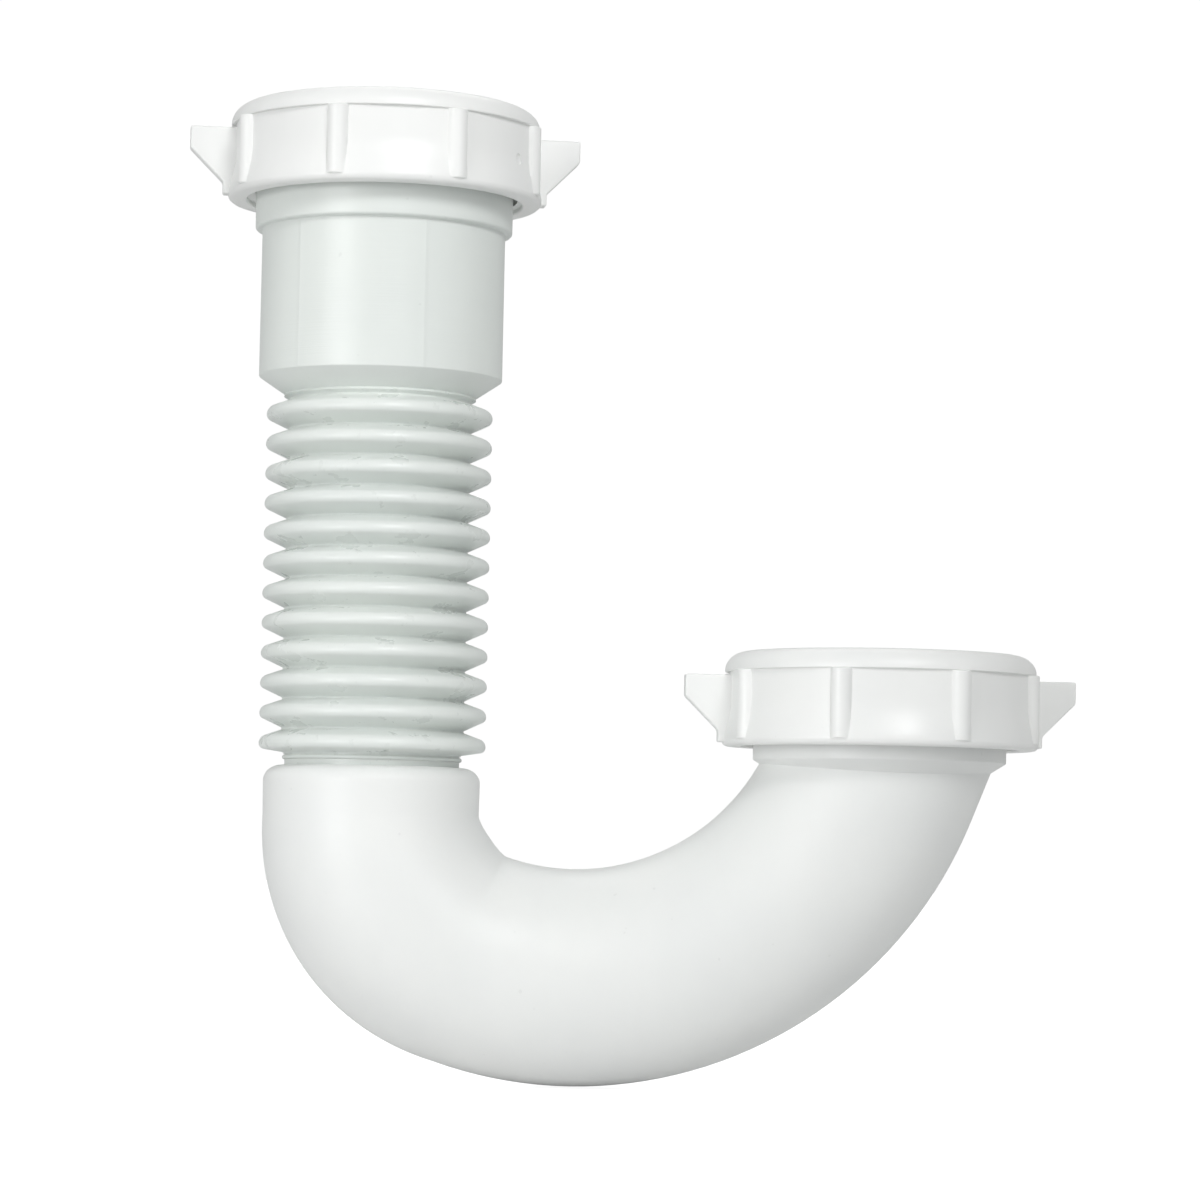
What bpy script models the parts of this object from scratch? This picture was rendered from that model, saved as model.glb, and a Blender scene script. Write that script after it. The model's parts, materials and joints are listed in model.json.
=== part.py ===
"""Flexible P trap for 1-1/2 in slip-joint waste pipe.

A moulded J-bend carries a corrugated riser. Each end has a threaded socket,
a tapered washer and a winged slip nut. Metres, +Z up. The origin is the centre
of the outlet socket's mouth, and the riser stands at -X.
"""
import math

import bmesh
import bpy
from mathutils import Matrix, Vector

MM = 0.001

# Pipe and wall sizes
PIPE_R = 19.05 * MM
WALL = 2.0 * MM
SOCKET_R = 19.4 * MM
GAP = 0.3 * MM

# Places
INLET_X = -89.5 * MM
INLET_MOUTH_Z = 95.1 * MM
LEG_TOP_Z = -16.8 * MM
LEG_ROUND = 2.0 * MM
LEG_END_ROUND = 1.5 * MM

# J-bend centre line: a tight bend under the riser, then a wider one. The third
# step of the wide one ends at the bend's lowest point.
TIGHT_TOP_Z = -24.7 * MM
TIGHT_R = 26.3 * MM
TIGHT_ANGLE = math.radians(71.3)
TIGHT_STEPS = 8
WIDE_R = 56.1 * MM
WIDE_STEPS = 14
WIDE_ANGLE = (math.pi / 2 - TIGHT_ANGLE) * WIDE_STEPS / 3
BEND_SWELL = 0.9 * MM
TUBE_RUN_IN = 11.0 * MM
WATERWAY_RUN_IN = 11.9 * MM
TUBE_SIDES = 24

# Slip-joint thread, 11.5 turns per inch
PITCH = 25.4 * MM / 11.5
MALE_ROOT_R = 22.5 * MM
MALE_CREST_R = 23.7 * MM
FEMALE_CREST_R = 22.9 * MM
FEMALE_ROOT_R = 24.15 * MM
MALE_PROFILE = ((0.0, MALE_ROOT_R), (0.26, MALE_ROOT_R), (0.5, MALE_CREST_R), (0.74, MALE_CREST_R))
FEMALE_PROFILE = ((0.0, FEMALE_ROOT_R), (0.36, FEMALE_ROOT_R), (0.6, FEMALE_CREST_R), (0.76, FEMALE_CREST_R))
FEMALE_PHASE = 0.44
THREAD_SIDES = 32

# Threaded collar, heights below the socket's mouth
THREAD_TOP = -0.7 * MM
THREAD_END = -9.0 * MM
SEAT_R = 21.5 * MM
SEAT_DEPTH = 4.6 * MM
BAND_R = 22.3 * MM
BAND_END = -13.6 * MM
OUTLET_CONE_R = 18.5 * MM
OUTLET_CONE_END = -16.0 * MM
OUTLET_FLOOR = -13.0 * MM
FLANGE_R = 22.8 * MM
FLANGE_END = -16.6 * MM
COLLAR_R = 21.6 * MM
COLLAR_CONE_TOP = -42.6 * MM
INLET_FLOOR = -37.5 * MM

# Corrugated riser
RINGS = 12
RING_PITCH = 5.287 * MM
FIRST_RING_Z = -12.45 * MM
CREST_R = 20.0 * MM
VALLEY_R = 16.1 * MM
RING_GAP = 1.4 * MM
RING_WALL = 1.1 * MM
CREST_FLAT = 0.9 * MM
RING_SIDES = 20
CUFF_R = 16.7 * MM
CUFF_BORE_R = 15.1 * MM
CUFF_LENGTH = 7.5 * MM
CUFF_BEAD_R = 17.3 * MM

# Slip nut, heights from its own socket's mouth
NUT_BOTTOM = -11.3 * MM
NUT_SHOULDER = 1.8 * MM
NUT_TOP = 5.4 * MM
NUT_LIP_UNDER = 2.6 * MM
NUT_HOLE_R = 20.0 * MM
NUT_WAIST_R = 27.2 * MM
NUT_SKIRT_R = 28.0 * MM
NUT_TOP_R = 23.6 * MM
RIB_COUNT = 8
RIB_R = 1.9 * MM
RIB_STAND = 1.2 * MM
RIB_FOOT = 1.0 * MM
WING_R = 34.7 * MM
WING_T = 3.2 * MM
WING_TOP = 0.6 * MM
WING_EDGE = 3.9 * MM
WING_FOOT_R = 28.8 * MM
WING_FOOT_TOP = 10.4 * MM
WING_FOOT_END = 12.5 * MM
INLET_WING_ANGLE = math.radians(7.5)
OUTLET_WING_ANGLE = math.radians(4.3)

# Tapered washer, heights from its own socket's mouth
WASHER_TOP = 2.3 * MM
WASHER_BRIM = 0.6 * MM
WASHER_R = 22.4 * MM
WASHER_BORE_R = 19.3 * MM

WHITE = (0.86, 0.87, 0.85)
RISER_WHITE = (0.80, 0.83, 0.81)
SEAL_WHITE = (0.78, 0.79, 0.76)


def clear_scene():
    for obj in list(bpy.data.objects):
        bpy.data.objects.remove(obj, do_unlink=True)


def material(name, color, roughness):
    mat = bpy.data.materials.new(name)
    mat.use_nodes = True
    shader = mat.node_tree.nodes["Principled BSDF"]
    shader.inputs["Base Color"].default_value = (*color, 1.0)
    shader.inputs["Roughness"].default_value = roughness
    shader.inputs["Metallic"].default_value = 0.0
    return mat


def thread_radius(profile, phase, turns):
    """Radius of a thread at a height counted in pitches, from its corner points."""
    at = (turns - phase) % 1.0
    corners = list(profile) + [(1.0, profile[0][1])]
    for (a, ra), (b, rb) in zip(corners, corners[1:]):
        if at <= b:
            return ra + (rb - ra) * (at - a) / (b - a)
    return profile[0][1]


def thread_points(profile, phase, z_low, z_high, turn):
    """Points of a right-hand thread up one line, at `turn` of a whole turn round.

    Points past an end are clamped to it, so every line has the same number.
    """
    rows = []
    first = math.floor(z_low / PITCH) - 2
    last = math.ceil(z_high / PITCH) + 1
    for pitch in range(first, last + 1):
        for corner, _ in profile:
            height = (pitch + corner + phase + turn) * PITCH
            height = min(max(height, z_low), z_high)
            rows.append((thread_radius(profile, phase, height / PITCH - turn), height))
    return rows


def turned_mesh(name, line_at, sides):
    """Solid turned about Z whose closed section at each side is line_at(turn)."""
    bm = bmesh.new()
    made = {}
    columns = []
    for side in range(sides + 1):
        turn = side / sides
        angle = 2 * math.pi * (side % sides) / sides
        column = []
        for radius, height in line_at(turn):
            key = (side % sides, round(radius * 1e7), round(height * 1e7))
            if key not in made:
                made[key] = bm.verts.new((radius * math.cos(angle), radius * math.sin(angle), height))
            column.append(made[key])
        columns.append(column)
    for left, right in zip(columns, columns[1:]):
        count = len(left)
        for j in range(count):
            k = (j + 1) % count
            corners = []
            for vert in (left[j], right[j], right[k], left[k]):
                if vert not in corners:
                    corners.append(vert)
            if len(corners) > 2 and bm.faces.get(corners) is None:
                bm.faces.new(corners)
    bmesh.ops.recalc_face_normals(bm, faces=bm.faces)
    mesh = bpy.data.meshes.new(name)
    bm.to_mesh(mesh)
    bm.free()
    return mesh


def add_object(name, mesh, mat, location=(0, 0, 0), parent=None):
    obj = bpy.data.objects.new(name, mesh)
    bpy.context.collection.objects.link(obj)
    obj.data.materials.append(mat)
    obj.data.shade_smooth()
    obj.data.set_sharp_from_angle(angle=math.radians(32))
    obj.location = location
    obj.parent = parent
    return obj


def add_cutter(name, mesh, target, operation):
    """Joins or cuts `target` with a guide mesh that isn't a node itself."""
    guide = bpy.data.objects.new(name, mesh)
    bpy.context.collection.objects.link(guide)
    guide.hide_render = True
    guide.display_type = "WIRE"
    guide.parent = target
    modifier = target.modifiers.new(name, "BOOLEAN")
    modifier.operation = operation
    modifier.solver = "EXACT"
    modifier.object = guide


def add_axis(name, location):
    """Empty that stands on a joint's axis. Its parts are placed relative to it."""
    empty = bpy.data.objects.new(name, None)
    bpy.context.collection.objects.link(empty)
    empty.empty_display_size = 10 * MM
    empty.location = location
    return empty


def centre_line():
    """Points, directions and bend fraction down the riser's leg and round the bend."""
    stations = [(0.0, LEG_TOP_Z, 0.0, 0.0), (0.0, LEG_TOP_Z - LEG_ROUND, 0.0, 0.0)]
    for i in range(TIGHT_STEPS):
        angle = TIGHT_ANGLE * i / TIGHT_STEPS
        x = TIGHT_R * (1 - math.cos(angle))
        z = TIGHT_TOP_Z - TIGHT_R * math.sin(angle)
        stations.append((x, z, angle, math.sin(math.pi * i / TIGHT_STEPS)))
    join_x = TIGHT_R * (1 - math.cos(TIGHT_ANGLE))
    join_z = TIGHT_TOP_Z - TIGHT_R * math.sin(TIGHT_ANGLE)
    hub_x = join_x + WIDE_R * math.cos(TIGHT_ANGLE)
    hub_z = join_z + WIDE_R * math.sin(TIGHT_ANGLE)
    for i in range(WIDE_STEPS + 1):
        angle = TIGHT_ANGLE + WIDE_ANGLE * i / WIDE_STEPS
        stations.append((hub_x - WIDE_R * math.cos(angle), hub_z - WIDE_R * math.sin(angle), angle, 0.0))
    return stations


def sweep_mesh(name, radius_at, start_round, end_run):
    """Solid swept down the leg and round the bend, with flat ends."""
    bm = bmesh.new()
    rings = []
    stations = centre_line()
    x, z, angle, _ = stations[-1]
    run = Vector((math.sin(angle), 0, -math.cos(angle))) * end_run
    stations.append((x + run.x, z + run.z, angle, 0.0))
    for index, (x, z, angle, bend) in enumerate(stations):
        centre = Vector((INLET_X + x, 0, z))
        across = Vector((math.cos(angle), 0, math.sin(angle)))
        radius = radius_at(bend)
        if index == 0:
            radius -= start_round
        ring = []
        for side in range(TUBE_SIDES):
            around = 2 * math.pi * side / TUBE_SIDES
            ring.append(bm.verts.new(centre + across * radius * math.cos(around)
                                     + Vector((0, radius * math.sin(around), 0))))
        rings.append(ring)
    for upper, lower in zip(rings, rings[1:]):
        for side in range(TUBE_SIDES):
            nxt = (side + 1) % TUBE_SIDES
            bm.faces.new((upper[side], upper[nxt], lower[nxt], lower[side]))
    bm.faces.new(rings[0])
    bm.faces.new(rings[-1])
    bmesh.ops.recalc_face_normals(bm, faces=bm.faces)
    mesh = bpy.data.meshes.new(name)
    bm.to_mesh(mesh)
    bm.free()
    return mesh


def seat_points():
    """Socket mouth from the rim in: a short land, then the washer's tapered seat."""
    return [(SEAT_R, 0.0), (SOCKET_R, -SEAT_DEPTH)]


def outlet_collar_line(turn):
    """Solid plug with the outlet's cone, band and thread. Its bore is cut later."""
    line = [(0.1 * MM, OUTLET_CONE_END), (OUTLET_CONE_R, OUTLET_CONE_END), (BAND_R, BAND_END),
            (BAND_R, THREAD_END)]
    line += thread_points(MALE_PROFILE, 0.0, THREAD_END, THREAD_TOP, turn)
    line += [(MALE_ROOT_R, THREAD_TOP + 0.2 * MM), (MALE_ROOT_R, 0.0), (0.1 * MM, 0.0)]
    return line


def outlet_bore_line(turn):
    return [(0.1 * MM, 2 * MM), (SEAT_R, 2 * MM)] + seat_points() + [
        (SOCKET_R, OUTLET_FLOOR), (0.1 * MM, OUTLET_FLOOR)]


def build_j_bend(mat):
    """J-bend moulding: leg, bend and threaded outlet socket in one piece."""
    mesh = sweep_mesh("bend_outside", lambda bend: PIPE_R + BEND_SWELL * bend,
                      LEG_END_ROUND, TUBE_RUN_IN)
    bend = add_object("j_bend", mesh, mat)
    add_cutter("outlet_collar_shape", turned_mesh("outlet_collar_shape", outlet_collar_line, THREAD_SIDES),
               bend, "UNION")
    add_cutter("bend_waterway", waterway_mesh(), bend, "DIFFERENCE")
    add_cutter("outlet_bore", turned_mesh("outlet_bore", outlet_bore_line, THREAD_SIDES), bend, "DIFFERENCE")


def waterway_mesh():
    """Inside of the bend, run out past the leg's end and into the outlet socket."""
    mesh = sweep_mesh("bend_waterway", lambda bend: PIPE_R - WALL + BEND_SWELL * bend, 0.0, WATERWAY_RUN_IN)
    bm = bmesh.new()
    bm.from_mesh(mesh)
    for vert in bm.verts:
        if vert.co.z > LEG_TOP_Z - 0.1 * MM and vert.co.x < INLET_X / 2:
            vert.co.z += 3 * MM
    bm.to_mesh(mesh)
    bm.free()
    return mesh


def ring_line(turn):
    """Wall of one convolution, open at both valleys."""
    half = (RING_PITCH - RING_GAP) / 2
    inner_r = VALLEY_R - RING_WALL
    return [(VALLEY_R, -half), (CREST_R, -CREST_FLAT / 2), (CREST_R, CREST_FLAT / 2), (VALLEY_R, half),
            (inner_r, half), (CREST_R - 1.5 * RING_WALL, 0.0), (inner_r, -half)]


def cuff_line(turn):
    """Cuff in the bend's leg, with the bead that rests on the leg's end."""
    bead = LEG_TOP_Z + GAP
    top = FIRST_RING_Z - RING_PITCH / 2 - RING_GAP / 2
    return [(CUFF_BORE_R, bead - CUFF_LENGTH), (CUFF_R, bead - CUFF_LENGTH), (CUFF_R, bead),
            (CUFF_BEAD_R, bead), (CUFF_BEAD_R, top), (CUFF_BORE_R, top)]


def inlet_collar_line(turn):
    """Inlet collar above the riser: cone, plain band, flange, thread and socket."""
    bottom = FIRST_RING_Z + (RINGS - 0.5) * RING_PITCH + RING_GAP / 2 - INLET_MOUTH_Z
    line = [(CUFF_BORE_R, bottom), (VALLEY_R + 1.2 * MM, bottom), (COLLAR_R, COLLAR_CONE_TOP),
            (COLLAR_R, FLANGE_END), (FLANGE_R, FLANGE_END), (FLANGE_R, THREAD_END)]
    line += thread_points(MALE_PROFILE, 0.0, THREAD_END, THREAD_TOP, turn)
    line += [(MALE_ROOT_R, THREAD_TOP + 0.2 * MM), (MALE_ROOT_R, 0.0)]
    line += seat_points() + [(SOCKET_R, INLET_FLOOR), (CUFF_BORE_R, INLET_FLOOR)]
    return line


def washer_line(turn):
    """Tapered slip-joint washer: a brim over the mouth and a wedge in the seat."""
    wedge_r = WASHER_BORE_R + 0.5 * MM
    wedge_end = -SEAT_DEPTH + 1.5 * MM
    return [(WASHER_BORE_R, WASHER_TOP), (WASHER_BORE_R, wedge_end), (wedge_r, wedge_end),
            (SEAT_R - 0.4 * MM, WASHER_BRIM - 0.3 * MM), (WASHER_R, WASHER_BRIM), (WASHER_R, WASHER_TOP)]


def nut_line(turn):
    """Slip nut without ribs: dome, lip round the pipe, and the inside thread."""
    dome = []
    steps = 4
    for i in range(steps + 1):
        angle = math.pi / 2 * i / steps
        dome.append((NUT_TOP_R + (NUT_WAIST_R + 0.2 * MM - NUT_TOP_R) * math.cos(angle),
                     NUT_SHOULDER + (NUT_TOP - NUT_SHOULDER) * math.sin(angle)))
    outside = [(NUT_SKIRT_R - 0.9 * MM, NUT_BOTTOM), (NUT_SKIRT_R, NUT_BOTTOM + 0.9 * MM),
               (NUT_WAIST_R, -4.5 * MM)] + dome
    mouth = [(NUT_HOLE_R, NUT_TOP), (NUT_HOLE_R, NUT_LIP_UNDER), (FEMALE_ROOT_R, NUT_LIP_UNDER)]
    inside = thread_points(FEMALE_PROFILE, FEMALE_PHASE, NUT_BOTTOM + 1.0 * MM, 0.4 * MM, turn)
    flare = [(FEMALE_ROOT_R + 0.3 * MM, NUT_BOTTOM + 0.8 * MM), (FEMALE_ROOT_R + 0.3 * MM, NUT_BOTTOM)]
    return outside + mouth + [(FEMALE_ROOT_R, 0.6 * MM)] + inside[::-1] + flare


def rib_section(bm, angle, z_low, z_high):
    """Half-round grip rib standing on the nut's wall."""
    centre_r = NUT_WAIST_R + RIB_STAND + 0.2 * MM - RIB_R
    outline = [(-RIB_R, -0.9 * MM)]
    steps = 6
    for i in range(steps + 1):
        around = math.pi * i / steps
        outline.append((-RIB_R * math.cos(around), RIB_R * math.sin(around)))
    outline.append((RIB_R, -0.9 * MM))
    turn = Matrix.Rotation(angle - math.pi / 2, 3, "Z")
    rings = []
    for height in (z_low, z_high):
        rings.append([bm.verts.new(turn @ Vector((x, centre_r + out, height))) for x, out in outline])
    count = len(outline)
    for j in range(count):
        k = (j + 1) % count
        bm.faces.new((rings[0][j], rings[0][k], rings[1][k], rings[1][j]))
    bm.faces.new(rings[0])
    bm.faces.new(rings[1])


def wing_section(bm, angle):
    """Flat wing midway between two ribs: short outer edge, slanted underside, small foot."""
    root_r = NUT_WAIST_R - 1.0 * MM
    top = NUT_SHOULDER - WING_TOP
    outline = [(root_r, top), (WING_R, top), (WING_R, top - WING_EDGE),
               (WING_FOOT_R, NUT_SHOULDER - WING_FOOT_TOP), (WING_FOOT_R, NUT_SHOULDER - WING_FOOT_END),
               (root_r, NUT_SHOULDER - WING_FOOT_END)]
    turn = Matrix.Rotation(angle, 3, "Z")
    sides = []
    for y in (-WING_T / 2, WING_T / 2):
        sides.append([bm.verts.new(turn @ Vector((r, y, z))) for r, z in outline])
    count = len(outline)
    for j in range(count):
        k = (j + 1) % count
        bm.faces.new((sides[0][j], sides[0][k], sides[1][k], sides[1][j]))
    bm.faces.new(sides[0])
    bm.faces.new(sides[1])


def grip_mesh(name, wings):
    """All ribs, or both wings, as one guide mesh."""
    bm = bmesh.new()
    if wings:
        for angle in (0.0, math.pi):
            wing_section(bm, angle)
    else:
        for rib in range(RIB_COUNT):
            rib_section(bm, 2 * math.pi * (rib + 0.5) / RIB_COUNT, NUT_BOTTOM + RIB_FOOT, NUT_SHOULDER)
    bmesh.ops.recalc_face_normals(bm, faces=bm.faces)
    mesh = bpy.data.meshes.new(name)
    bm.to_mesh(mesh)
    bm.free()
    return mesh


def build_joint_set(end, axis_empty, wing_angle, nut_mat, washer_mat):
    """One slip joint's loose pieces: the washer and the winged nut on it."""
    washer = turned_mesh(end + "_washer", washer_line, THREAD_SIDES)
    add_object(end + "_washer", washer, washer_mat, parent=axis_empty)
    nut_mesh = turned_mesh(end + "_nut", nut_line, THREAD_SIDES)
    grips = []
    for wings in (False, True):
        grips.append(grip_mesh(end + ("_wings" if wings else "_ribs"), wings))
    for mesh in grips:
        mesh.transform(Matrix.Rotation(wing_angle, 4, "Z"))
    nut = add_object(end + "_nut", nut_mesh, nut_mat, parent=axis_empty)
    for mesh in grips:
        add_cutter(mesh.name, mesh, nut, "UNION")


def build_riser(mat):
    """Cuff, twelve convolutions and the inlet collar, each on its own flex axis."""
    add_object("flex_cuff", turned_mesh("flex_cuff", cuff_line, RING_SIDES), mat, (INLET_X, 0, 0))
    ring_mesh = turned_mesh("flex_ring", ring_line, RING_SIDES)
    for ring in range(RINGS):
        z = FIRST_RING_Z + ring * RING_PITCH
        axis = add_axis("flex_axis_%02d" % (ring + 1), (INLET_X, 0, z - RING_PITCH / 2))
        add_object("flex_ring_%02d" % (ring + 1), ring_mesh.copy(), mat, (0, 0, RING_PITCH / 2), axis)
    collar = turned_mesh("inlet_collar", inlet_collar_line, THREAD_SIDES)
    add_object("inlet_collar", collar, mat, (INLET_X, 0, INLET_MOUTH_Z))


def main():
    clear_scene()
    white = material("white_moulding", WHITE, 0.42)
    riser_white = material("riser_moulding", RISER_WHITE, 0.48)
    seal = material("washer_seal", SEAL_WHITE, 0.5)
    build_j_bend(white)
    build_riser(riser_white)
    inlet_axis = add_axis("inlet_thread_axis", (INLET_X, 0, INLET_MOUTH_Z))
    outlet_axis = add_axis("outlet_thread_axis", (0, 0, 0))
    build_joint_set("inlet", inlet_axis, INLET_WING_ANGLE, white, seal)
    build_joint_set("outlet", outlet_axis, OUTLET_WING_ANGLE, white, seal)


main()
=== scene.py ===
"""Looks of a flexible P trap: fine meshes, white plastics, soft light and camera.

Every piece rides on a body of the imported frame. Most replace one of the plain
solids that MuJoCo keeps; the riser's neck, head and liners are added to them.
Sizes are metres; heights on a socket are measured from its mouth, up.
"""
import json
import math

import bmesh
import bpy
from mathutils import Matrix, Vector

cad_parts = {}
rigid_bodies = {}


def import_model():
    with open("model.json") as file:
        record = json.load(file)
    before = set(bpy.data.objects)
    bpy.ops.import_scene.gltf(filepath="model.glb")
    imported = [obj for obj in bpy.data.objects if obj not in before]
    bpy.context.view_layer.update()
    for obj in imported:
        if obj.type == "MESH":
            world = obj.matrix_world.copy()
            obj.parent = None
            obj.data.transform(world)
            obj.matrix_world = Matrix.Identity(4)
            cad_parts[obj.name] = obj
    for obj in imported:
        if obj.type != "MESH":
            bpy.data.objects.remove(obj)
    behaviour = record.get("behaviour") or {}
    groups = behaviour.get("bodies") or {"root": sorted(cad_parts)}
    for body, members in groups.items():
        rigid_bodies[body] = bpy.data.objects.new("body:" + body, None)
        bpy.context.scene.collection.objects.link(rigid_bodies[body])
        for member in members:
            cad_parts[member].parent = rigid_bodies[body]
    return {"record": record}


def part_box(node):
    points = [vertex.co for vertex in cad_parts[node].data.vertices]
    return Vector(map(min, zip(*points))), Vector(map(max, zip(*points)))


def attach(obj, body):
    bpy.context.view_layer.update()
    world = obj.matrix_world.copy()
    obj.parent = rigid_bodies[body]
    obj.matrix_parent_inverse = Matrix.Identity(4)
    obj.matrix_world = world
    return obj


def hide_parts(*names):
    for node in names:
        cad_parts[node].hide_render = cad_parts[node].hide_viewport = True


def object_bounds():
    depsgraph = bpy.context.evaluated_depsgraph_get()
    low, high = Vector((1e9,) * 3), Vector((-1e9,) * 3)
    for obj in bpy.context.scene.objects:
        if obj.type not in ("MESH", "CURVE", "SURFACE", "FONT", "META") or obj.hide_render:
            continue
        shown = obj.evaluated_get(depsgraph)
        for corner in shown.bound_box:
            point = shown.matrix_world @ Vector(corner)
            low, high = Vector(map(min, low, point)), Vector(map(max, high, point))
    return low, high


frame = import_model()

cad_low, cad_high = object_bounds()

MM = 0.001
TAU = 2 * math.pi

# Places, from the frame
CUFF_PROUD = 0.4 * MM
JOINTS = {joint["name"]: joint for joint in frame["record"]["behaviour"]["joints"]}
INLET_X, _, INLET_MOUTH = JOINTS["inlet_nut_turn"]["pos_m"]
FLEX_JOINTS = sorted((joint for joint in JOINTS.values() if joint["name"].startswith("flex_")),
                     key=lambda joint: joint["pos_m"][2])
FLEX_Z = [joint["pos_m"][2] for joint in FLEX_JOINTS]
FLEX_BODIES = [FLEX_JOINTS[0]["parent"]] + [joint["child"] for joint in FLEX_JOINTS]
RING_PITCH = FLEX_Z[1] - FLEX_Z[0]
LEG_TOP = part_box("flex_cuff")[1][2] - CUFF_PROUD
COLLAR_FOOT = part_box("inlet_collar")[0][2]

# Bend, as the frame's solid: centre line, wall and bores
PIPE_R = 19.05 * MM
WALL = 2.0 * MM
TIGHT_TOP_Z = -24.7 * MM
TIGHT_R = 26.3 * MM
TIGHT_ANGLE = math.radians(71.3)
TIGHT_STEPS = 30
WIDE_R = 56.1 * MM
WIDE_STEPS = 42
SOLID_WIDE_STEPS = 14
SOLID_STEPS_TO_LOWEST = 3
WIDE_ANGLE = (math.pi / 2 - TIGHT_ANGLE) * SOLID_WIDE_STEPS / SOLID_STEPS_TO_LOWEST
BEND_SWELL = 0.9 * MM
TUBE_RUN_IN = 11.0 * MM
WATERWAY_RUN_IN = 11.9 * MM
TUBE_SIDES = 96
SHOULDER_OUT = 3.2 * MM
SHOULDER_DOWN = 2.7 * MM
LEG_LIP_R = 16.0 * MM
LEG_LIP = 2.6 * MM
SEAM_HIGH = 0.09 * MM
SEAM_WIDE = 0.35 * MM
LEG_LIP_STEP = 0.6 * MM
NUB_R = (1.0 * MM, 0.75 * MM)
NUB_HEIGHT = 1.2 * MM
NUB_EDGE = 0.12 * MM
NUB_SUNK = 0.25 * MM
NUB_PAST_TIGHT = math.radians(28)

# Slip-joint thread
PITCH = 25.4 * MM / 11.5
MALE_ROOT_R = 22.5 * MM
MALE_CREST_R = 23.7 * MM
FEMALE_CREST_R = 22.9 * MM
FEMALE_ROOT_R = 24.15 * MM
MALE_CORNERS = ((0.0, MALE_ROOT_R), (0.26, MALE_ROOT_R), (0.5, MALE_CREST_R), (0.74, MALE_CREST_R))
FEMALE_CORNERS = ((0.0, FEMALE_ROOT_R), (0.36, FEMALE_ROOT_R), (0.6, FEMALE_CREST_R), (0.76, FEMALE_CREST_R))
FEMALE_PHASE = 0.44
CORNER_ROUND = 0.05
THREAD_SIDES = 144
MOUTH_ROUND = 0.35 * MM

# Threaded collars
THREAD_TOP = -0.7 * MM
THREAD_END = -9.0 * MM
SEAT_R = 21.5 * MM
SEAT_DEPTH = 4.6 * MM
SOCKET_R = 19.4 * MM
BAND_R = 22.3 * MM
BAND_END = -13.6 * MM
OUTLET_CONE_R = 18.5 * MM
OUTLET_CONE_END = -16.0 * MM
OUTLET_FLOOR = -13.0 * MM
FLANGE_R = 22.8 * MM
FLANGE_END = -16.6 * MM
COLLAR_R = 21.6 * MM
COLLAR_CONE_TOP = -42.6 * MM
INLET_FLOOR = -37.5 * MM
RISER_BORE_R = 15.1 * MM
MOULD_LINES = (math.radians(-129), math.radians(-67))
MOULD_STEP = 0.06 * MM
MOULD_RIDGE = 0.07 * MM
MOULD_LINE_WIDE = 0.3 * MM

# Corrugated riser
CREST_R = 20.0 * MM
CREST_ROUND_UP = 1.5 * MM
CREST_ROUND_DOWN = 1.0 * MM
VALLEY_R = 16.05 * MM
VALLEY_ROUND = 0.25 * MM
RISER_WALL = 0.9 * MM
NECK_R = 15.4 * MM
NECK_DROP = 1.75 * MM
NECK_BEAD = 0.45 * MM
RING_SIDES = 128
LINER_DEPTH = 0.12 * MM
LINER_REACH = 1.6 * MM
CUFF_IN_R = 14.3 * MM
CUFF_OUT_R = 16.7 * MM
CUFF_DEEP = 7.2 * MM
CUFF_LEDGE = 1.5 * MM

# Slip nuts
NUT_BOTTOM = -11.3 * MM
NUT_SHOULDER = 1.8 * MM
NUT_TOP = 5.4 * MM
NUT_LIP_UNDER = 2.6 * MM
NUT_HOLE_R = 20.0 * MM
NUT_WAIST_R = 27.2 * MM
NUT_SKIRT_R = 28.0 * MM
NUT_TOP_R = 23.6 * MM
DOME_R = 27.45 * MM
PANEL_DEPTH = 0.55 * MM
RIB_COUNT = 8
RIB_R = 1.9 * MM
RIB_STAND = 1.2 * MM
RIB_FOOT = 1.0 * MM
WING_R = 34.7 * MM
WING_T = 3.2 * MM
WING_TOP = 0.6 * MM
WING_EDGE = 3.9 * MM
WING_FOOT_R = 28.8 * MM
WING_FOOT_TOP = 10.4 * MM
WING_FOOT_END = 12.5 * MM
INLET_WING_ANGLE = math.radians(7.5)
OUTLET_WING_ANGLE = math.radians(4.3)
GATE_TURN = math.radians(-27)
GATE_Z = -5.0 * MM
GATE_SIZE = (0.95 * MM, 1.3 * MM, 0.28 * MM)

# Washers
WASHER_TOP = 2.3 * MM
WASHER_BRIM = 0.6 * MM
WASHER_R = 22.4 * MM
WASHER_BORE_R = 19.3 * MM

# Camera
CAMERA_LENS = 123.03
CAMERA_SENSOR = 36.0
CAMERA_CLIP = (0.01, 20.0)
CAMERA_SPOT = Vector((-49.82, -724.04, -30.1)) * MM
CAMERA_PITCH = math.radians(3.49)
CAMERA_ROLL = math.radians(1.143)

# Colours
WHITE = (0.86, 0.87, 0.86)
NUT_WHITE = (0.9, 0.905, 0.895)
RISER_WHITE = (0.78, 0.815, 0.79)
SEAL_WHITE = (0.76, 0.77, 0.73)
PLASTIC_IOR = 1.49

# Shading: edges sharper than this many degrees stay sharp
SHARP_ANGLE = 32
RISER_SHARP_ANGLE = 50

# Studio
WORLD_TINT = (0.985, 1.0, 0.995, 1.0)
WORLD_LIGHT = (0.46, 0.54)
WORLD_SIDE = (-0.35, -0.9, 0.15)
BACKDROP_STRENGTH = 1.02
FLOOR_R = 4.0
FLOOR_GAP = 0.3 * MM
FLOOR_GREY = (0.8, 0.8, 0.8, 1.0)
FLOOR_GLOW = (0.08, 0.8)


# ---------------------------------------------------------------- outlines

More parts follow.
